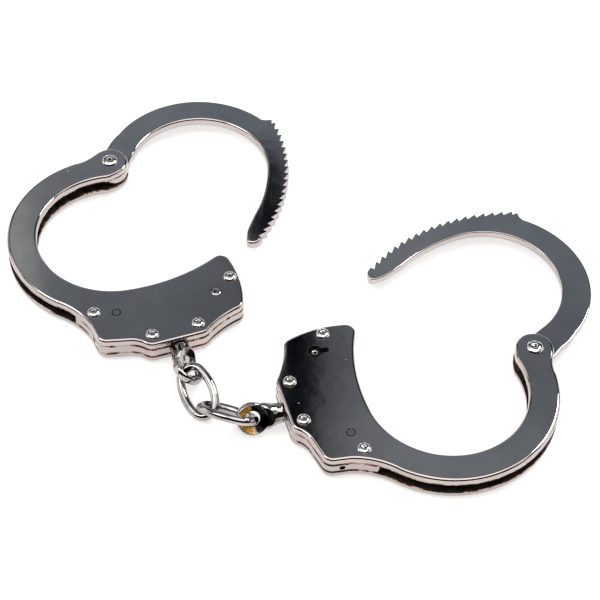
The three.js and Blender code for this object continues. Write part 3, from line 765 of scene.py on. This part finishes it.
def swivel_piece(side, matrix):
    """A flared shank forged into an eye that is dished from both sides down to its hole."""
    up_shank = Matrix.Rotation(-math.pi / 2, 4, "X")
    at_eye = Matrix.Translation((0, EYE_AT, 0))
    forging = bmesh.new()
    shank = [
        (0, -1.6), (2.3, -1.6), (2.6, -1.35), (2.6, -0.2), (2.5, -0.1), (1.8, -0.1), (1.8, 4.25),
        (2.85, 4.25),
        (3.08, 4.5), (3.1, 5.4), (3.22, EYE_AT - 7.0), (3.5, EYE_AT - 6.1), (3.68, EYE_AT - 5.4),
        (3.6, EYE_AT - 4.7), (3.2, EYE_AT - 4.0), (2.4, EYE_AT - 3.2), (1.2, EYE_AT - 2.7), (0, EYE_AT - 2.6),
    ]
    lathe_rings(forging, shank, 64, up_shank)
    web = [
        (-7.4, 3.15, 3.15), (-6.3, 3.45, 3.4), (-5.3, 3.8, 3.35), (-4.3, 4.05, 2.75),
        (-3.3, 4.2, 1.9), (-2.2, 4.4, 1.45),
        (-1.2, 4.6, 1.3),
    ]
    web_rings(forging, [(EYE_AT + along, wide, thick) for along, wide, thick in web], 64, up_shank)
    disc = [(0, -1.45), (4.4, -1.45), (4.75, -1.32), (5.0, -0.9), (5.05, -0.5)]
    disc += [(r, -h) for r, h in reversed(disc)]
    lathe_rings(forging, disc, 96, at_eye)
    obj = made(f"{side}_swivel_forged", forging, Matrix.Scale(MM, 4))
    fuse = obj.modifiers.new("fuse", "REMESH")
    fuse.mode = "VOXEL"
    fuse.voxel_size = 0.15 * MM
    flow = obj.modifiers.new("flow", "SMOOTH")
    flow.factor = 0.5
    flow.iterations = 16
    hollow = bmesh.new()
    half = [
        (6.6, 6.0), (6.2, 3.7), (EYE_CREST, 1.47), (4.0, 1.18), (3.0, 0.66), (2.4, EYE_BORE_HALF),
        (EYE_HOLE + 0.1, EYE_BORE_HALF - 0.1),
    ]
    dish = [(0, 6.0), *half, *[(r, -h) for r, h in reversed(half)], (0, -6.0)]
    lathe_rings(hollow, dish[::-1], 96, at_eye)
    cutter = made(f"{side}_eye_dish", hollow, Matrix.Scale(MM, 4))
    dished = obj.modifiers.new("dished", "BOOLEAN")
    dished.operation = "DIFFERENCE"
    dished.solver = "EXACT"
    dished.object = cutter
    settle = obj.modifiers.new("settle", "REMESH")
    settle.mode = "VOXEL"
    settle.voxel_size = 0.11 * MM
    soften = obj.modifiers.new("soften", "SMOOTH")
    soften.factor = 0.5
    soften.iterations = 6
    graph = bpy.context.evaluated_depsgraph_get()
    mesh = bpy.data.meshes.new_from_object(obj.evaluated_get(graph))
    obj.modifiers.clear()
    obj.data = mesh
    bpy.data.objects.remove(cutter)
    mesh.name = obj.name
    mesh.shade_smooth()
    # Painted colour on the eye: a copper reflection over the dish away from the shank, and near-black painted
    # shade in the hole, over the dish towards the shank and in the scoops beside it.
    glint_and_wear = mesh.attributes.new("glint_and_wear", "FLOAT", "POINT")
    painted_shade = mesh.attributes.new("painted_shade", "FLOAT", "POINT")
    for v in mesh.vertices:
        x, y = v.co.x / MM, v.co.y / MM - EYE_AT
        from_axis = math.hypot(x, y)
        dished_in = clamp((EYE_CREST - 0.05 - from_axis) / 0.35)
        far = clamp(0.5 + y / 2.4)
        in_bore = 1.0 if from_axis < EYE_HOLE + 0.25 else 0.0
        scoop = 1.47 + (from_axis - EYE_CREST) * 1.31
        scooped = 1.0 if from_axis > EYE_CREST - 0.2 and y < -1.0 and abs(v.co.z) / MM > scoop - 0.3 else 0.0
        glint_and_wear.data[v.index].value = dished_in * far * CUFFS[side]["bare"] * (1 - in_bore)
        painted_shade.data[v.index].value = max(in_bore, max(scooped, dished_in * (1 - far)) * CUFFS[side]["shade_paint"])
    holder = Matrix.Translation((*SWIVEL_BASE, 0)) @ Matrix.Rotation(math.radians(SWIVEL_ANGLE - 90), 4, "Z")
    spin = Matrix.Rotation(math.radians(CUFFS[side]["eye"]), 4, "Y")
    mesh.transform(matrix @ holder @ spin @ Matrix.Scale(1 / MM, 4))
    mesh.update()
    return obj


def near(point, line):
    """The distance from a point to a line of points."""
    spot = Vector(point[:2])
    best = 1e9
    for a, b in zip(line, line[1:]):
        a, step = Vector(a), Vector(b) - Vector(a)
        share = clamp((spot - a).dot(step) / max(step.length_squared, 1e-9))
        best = min(best, (spot - a - step * share).length)
    return best


# Material slots: nickel, seam grime, and the painted shade of the inside.
NICKEL_FACE, SEAM_FACE, INNER_SHADE_FACE = 0, 1, 2


def cheek_pick(outward_sign):
    """Nickel outside, a grimy seam round the inner edge, and painted shade on the inner faces and on the
    walls of the key and pawl holes.
    """
    def pick(centre, normal):
        depth = centre.z * outward_sign - HALF_GAP
        if normal.z * outward_sign < -0.9:
            return INNER_SHADE_FACE
        in_hole = math.dist(centre[:2], KEY_POST) < 5 or math.dist(centre[:2], PAWL_PIN) < 1.6
        if in_hole and abs(normal.z) < 0.98:
            return INNER_SHADE_FACE
        return SEAM_FACE if depth < SEAM_BAND else NICKEL_FACE
    return pick


# Faces away from the case's outside get the painted shade of the inside.
def spacer_pick(outside):
    def pick(centre, normal):
        if near(centre, outside) > 0.3:
            return INNER_SHADE_FACE
        return SEAM_FACE if abs(centre.z) > HALF_GAP - 0.03 - SEAM_BAND else NICKEL_FACE
    return pick


def build_cuff(side):
    matrix = placed(side)
    body = f"{side}_frame"
    cutter = seat_cutter()
    outline = eased(cheek_outline(), 0.5)
    pins = [ring(at, RIVET_SHANK + 0.05) for at in RIVETS.values()]
    pins += [ring((0, 0), PIVOT_SHANK + 0.05), ring(PAWL_PIN, PAWL_PIN_HOLE)]
    shell = (PLATE, SEAM, INSIDE_SHADE)
    front = plate(
        f"{side}_front_cheek_plate", outline, HALF_GAP, OUTER_FACE, matrix, (SEAM_ROUND, CHEEK_ROUND),
        holes=pins + [keyhole()], cut=cutter, pick=cheek_pick(1),
    )
    dressed(front, shell, body, "nickel_plate", f"{side}_front_cheek")
    back = plate(
        f"{side}_back_cheek_plate", outline, -OUTER_FACE, -HALF_GAP, matrix, (CHEEK_ROUND, SEAM_ROUND),
        holes=pins + [ring(KEY_POST, KEY_FOOT_HOLE)], cut=cutter, pick=cheek_pick(-1),
    )
    dressed(back, shell, body, "nickel_plate", f"{side}_back_cheek")
    bpy.data.objects.remove(cutter)
    push = push_cutter()
    filling = plate(
        f"{side}_spacer_block", spacer_outline(), -HALF_GAP + 0.03, HALF_GAP - 0.03,
        matrix, (SEAM_ROUND, SEAM_ROUND),
        holes=[ring(at, RIVET_SHANK + 0.05) for at in RIVETS.values()],
        cut=push, pick=spacer_pick(case_side()),
    )
    bpy.data.objects.remove(push)
    dressed(filling, shell, body, "nickel_plate", f"{side}_spacer")

    loop, shares = strand_outline()
    swing = Matrix.Rotation(math.radians(CUFFS[side]["strand"]), 4, "Z")
    strand = plate(
        f"{side}_strand_blade", loop, -STRAND_HALF, STRAND_HALF, matrix @ swing, (0.8, 0.45),
        holes=[ring((0, 0), 2.2)], shares=shares,
    )
    dressed(strand, [STRAND], f"{side}_strand", "nickel_plate", f"{side}_strand")

    for where, at in RIVETS.items():
        domed = dome_profile(RIVET_HEAD, RIVET_SHANK)
        here = Matrix.Translation((*at, 0))
        rivet = turned(f"{side}_rivet_{where}_domed", domed, matrix, 48, here, cup_shade(RIVET_HEAD))
        dressed(rivet, [RIVET], body, "rivet_nickel", f"{side}_rivet_{where}")
    domed = dome_profile(PIVOT_HEAD, PIVOT_SHANK)
    pivot = turned(f"{side}_pivot_rivet_domed", domed, matrix, 56, shade_paint=cup_shade(PIVOT_HEAD))
    dressed(pivot, [RIVET], body, "rivet_nickel", f"{side}_pivot_rivet")
    here = Matrix.Translation((*PAWL_PIN, 0))
    pin = turned(f"{side}_pawl_pin_flush", flush_profile(1.04, 0.45), matrix, 48, here, ring_shade)
    dressed(pin, [PIN], body, "inner_steel", f"{side}_pawl_pin")
    here = Matrix.Translation((*KEY_POST, 0))
    key = turned(f"{side}_key_post_bored", key_profile(), matrix, 40, here, bore_shade)
    dressed(key, [RIVET], body, "rivet_nickel", f"{side}_key_post")
    dressed(swivel_piece(side, matrix), [CHAIN], f"{side}_swivel", "chain_nickel", f"{side}_swivel")

    for inner, material in (("pawl", GROUND), ("lock_bar", GROUND), ("pawl_spring", SPRING)):
        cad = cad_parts[f"{side}_{inner}"]
        cad.data.materials.clear()
        cad.data.materials.append(material)
        ease = cad.modifiers.new("ease", "BEVEL")
        ease.width = 0.08 * MM
        ease.segments = 2
        ease.limit_method = "ANGLE"
        ease.angle_limit = math.radians(25)


def build_link(name, place):
    along = Vector(place["along"]).normalized()
    across = Vector(place["across"])
    across = (across - along * across.dot(along)).normalized()
    square = along.cross(across)
    turn = Matrix((along, across, square)).transposed().to_4x4()
    matrix = Matrix.Scale(MM, 4) @ Matrix.Translation(SHIFT + Vector(place["at"])) @ turn
    bm = bmesh.new()
    wire_rings(bm, link_stations(), LINK_WIRE - 0.02, 32)
    obj = made(f"{name}_wire", bm, Matrix.Identity(4), sharp=60.0)
    # Painted colour on the wire's ends: a faint copper reflection with partly real wearing on their inner
    # sides, and near-black painted shade where they bear on the next piece.
    glint_and_wear = obj.data.attributes.new("glint_and_wear", "FLOAT", "POINT")
    painted_shade = obj.data.attributes.new("painted_shade", "FLOAT", "POINT")
    end_at = LINK_LENGTH / 2 - LINK_WIRE - LINK_END
    for v in obj.data.vertices:
        inner = LINK_END - math.hypot(max(0.0, abs(v.co.x) - end_at), v.co.y)
        at_end = clamp((abs(v.co.x) - end_at - 1.2) / 1.5)
        glint_and_wear.data[v.index].value = 0.3 * at_end * clamp(inner / LINK_WIRE)
        bearing = clamp((abs(v.co.x) - end_at - 1.8) / 0.8)
        painted_shade.data[v.index].value = 0.9 * bearing * clamp((inner + 0.2) / 0.6)
    obj.data.transform(matrix)
    obj.data.update()
    dressed(obj, [CHAIN], name, "chain_nickel", name)


for cuff_side in CUFFS:
    build_cuff(cuff_side)
for link_name, link_place in LINKS.items():
    build_link(link_name, link_place)


# ---------------------------------------------------------------- camera, floor and light
def build_camera():
    elevation, roll, distance = 0.861388, 0.0483228, 530.0
    back = Vector((0, -math.cos(elevation), math.sin(elevation)))
    right, up = Vector((1, 0, 0)), Vector((0, math.sin(elevation), math.cos(elevation)))
    turned_right = math.cos(roll) * right + math.sin(roll) * up
    turned_up = -math.sin(roll) * right + math.cos(roll) * up
    data = bpy.data.cameras.new("camera")
    data.lens, data.sensor_width = 103.29, 36.0
    data.clip_start, data.clip_end = 0.01, 20.0
    camera = bpy.data.objects.new("camera", data)
    bpy.context.scene.collection.objects.link(camera)
    place = Matrix((turned_right, turned_up, back)).transposed().to_4x4()
    place.translation = (back * distance + Vector((0, 0, 9.0)) + SHIFT) * MM
    camera.matrix_world = place
    bpy.context.scene.camera = camera


def build_floor():
    bm = bmesh.new()
    bmesh.ops.create_grid(bm, x_segments=2, y_segments=2, size=3.0)
    floor = made("floor", bm, Matrix.Identity(4))
    mat = bpy.data.materials.new("white_paper")
    mat.use_nodes = True
    tree = mat.node_tree
    shader = tree.nodes["Principled BSDF"]
    shader.inputs["Roughness"].default_value = 0.85
    shader.inputs["Specular IOR Level"].default_value = 0.1
    shader.inputs["Emission Color"].default_value = (1.0, 1.0, 1.0, 1.0)
    shader.inputs["Emission Strength"].default_value = 0.62
    where = node(tree, "ShaderNodeTexCoord").outputs["Object"]
    mottle = node(tree, "ShaderNodeTexNoise", in_Scale=6.0, in_Detail=2.0)
    tree.links.new(where, mottle.inputs["Vector"])
    tone = ramp(tree, mottle.outputs["Fac"], [(0.3, (0.61, 0.61, 0.61)), (0.7, (0.63, 0.63, 0.63))])
    tree.links.new(tone, shader.inputs["Base Color"])
    floor.data.materials.append(mat)


def window(tree, source, start, full, fade=None, end=None):
    """1 where source is past full and before fade, easing to 0 at start and end."""
    rise = node(
        tree, "ShaderNodeMapRange", interpolation_type="SMOOTHSTEP", in_From_Min=start, in_From_Max=full,
    )
    tree.links.new(source, rise.inputs["Value"])
    if fade is None:
        return rise.outputs["Result"]
    fall = node(
        tree, "ShaderNodeMapRange", interpolation_type="SMOOTHSTEP", in_From_Min=end, in_From_Max=fade,
    )
    tree.links.new(source, fall.inputs["Value"])
    return maths(tree, "MULTIPLY", rise.outputs["Result"], fall.outputs["Result"])


def maths(tree, operation, *values):
    step = node(tree, "ShaderNodeMath", operation=operation)
    for socket, value in zip(step.inputs, values):
        if isinstance(value, (int, float)):
            socket.default_value = value
        else:
            tree.links.new(value, socket)
    return step.outputs[0]


def mixed(tree, amount, below, above):
    mix = node(tree, "ShaderNodeMixRGB")
    for socket, value in zip(mix.inputs, (amount, below, above)):
        if isinstance(value, tuple):
            socket.default_value = (*value, 1.0)
        else:
            tree.links.new(value, socket)
    return mix.outputs["Color"]


def build_light():
    """A bright studio whose dark walls, high behind the object and low in front of it, the metal mirrors."""
    world = bpy.data.worlds.new("studio")
    bpy.context.scene.world = world
    world.use_nodes = True
    tree = world.node_tree
    background = tree.nodes["Background"]
    direction = node(tree, "ShaderNodeTexCoord").outputs["Generated"]
    parts = node(tree, "ShaderNodeSeparateXYZ")
    tree.links.new(direction, parts.inputs["Vector"])
    height = maths(tree, "DEGREES", maths(tree, "ARCSINE", parts.outputs["Z"]))
    bearing = maths(tree, "DEGREES", maths(tree, "ARCTAN2", parts.outputs["X"], parts.outputs["Y"]))
    aside = maths(tree, "ABSOLUTE", bearing)

    cloud = node(tree, "ShaderNodeTexNoise", in_Scale=2.6, in_Detail=1.0)
    tree.links.new(direction, cloud.inputs["Vector"])
    panels = ramp(tree, cloud.outputs["Fac"], [(0.44, (0.05, 0.05, 0.055)), (0.5, (1.5, 1.48, 1.46))])
    room = mixed(tree, window(tree, height, 52.0, 62.0), panels, (1.9, 1.88, 1.86))
    in_front = maths(
        tree, "MULTIPLY", window(tree, height, 1.0, 4.0, 52.0, 60.0), window(tree, aside, 98.0, 112.0),
    )
    room = mixed(tree, in_front, room, (0.012, 0.012, 0.016))

    lower = maths(tree, "MAXIMUM", maths(tree, "SUBTRACT", 51.3, height), 0.0)
    leaning = maths(tree, "MULTIPLY_ADD", lower, 0.38, bearing)
    off_centre = maths(tree, "ABSOLUTE", maths(tree, "SUBTRACT", leaning, 0.1))
    band = ramp(tree, maths(tree, "DIVIDE", off_centre, 10.0), [
        (0.0, (0.0,)), (0.07, (0.02,)), (0.15, (0.5,)), (0.30, (0.78,)), (0.62, (1.0,)),
    ])
    tone = node(tree, "ShaderNodeTexNoise", in_Scale=5.0, in_Detail=1.0)
    tree.links.new(direction, tone.inputs["Vector"])
    wall = ramp(tree, tone.outputs["Fac"], [(0.35, (0.215, 0.265, 0.315)), (0.65, (0.315, 0.38, 0.43))])
    shade = ramp(tree, maths(tree, "DIVIDE", height, 90.0), [
        (0.48, (1.0,)), (0.52, (0.96,)), (0.548, (0.76,)), (0.572, (0.74,)), (0.594, (0.86,)),
    ])
    wall = mixed(tree, shade, (0.0, 0.0, 0.0), wall)
    banded = mixed(tree, band, (0.001, 0.001, 0.004), wall)
    wall = mixed(tree, window(tree, height, 43.7, 45.2), wall, banded)
    wall = mixed(tree, window(tree, height, 58.0, 66.0), wall, (0.02, 0.022, 0.028))
    glow = window(tree, bearing, -12.2, -14.2)
    wall = mixed(tree, glow, wall, (0.44, 0.51, 0.5))
    wall = mixed(tree, window(tree, aside, 15.8, 19.0), wall, (0.015, 0.016, 0.02))
    behind = maths(
        tree, "MULTIPLY", window(tree, height, 10.0, 18.0, 66.0, 76.0), window(tree, aside, 46.0, 30.0),
    )
    tree.links.new(mixed(tree, behind, room, wall), background.inputs["Color"])
    background.inputs["Strength"].default_value = 1.0

    for name, place, size, power in (
        ("key", (0.55, 0.5, 0.9), 0.35, 5.0),
        ("fill", (-0.7, -0.2, 0.9), 0.5, 2.0),
    ):
        data = bpy.data.lights.new(name, "AREA")
        data.shape = "DISK"
        data.size, data.energy = size, power
        lamp = bpy.data.objects.new(name, data)
        bpy.context.scene.collection.objects.link(lamp)
        lamp.location = place
        lamp.rotation_mode = "QUATERNION"
        lamp.rotation_quaternion = (-Vector(place)).to_track_quat("-Z", "Y")
    bpy.context.scene.view_settings.view_transform = "Standard"


build_camera()
build_floor()
build_light()
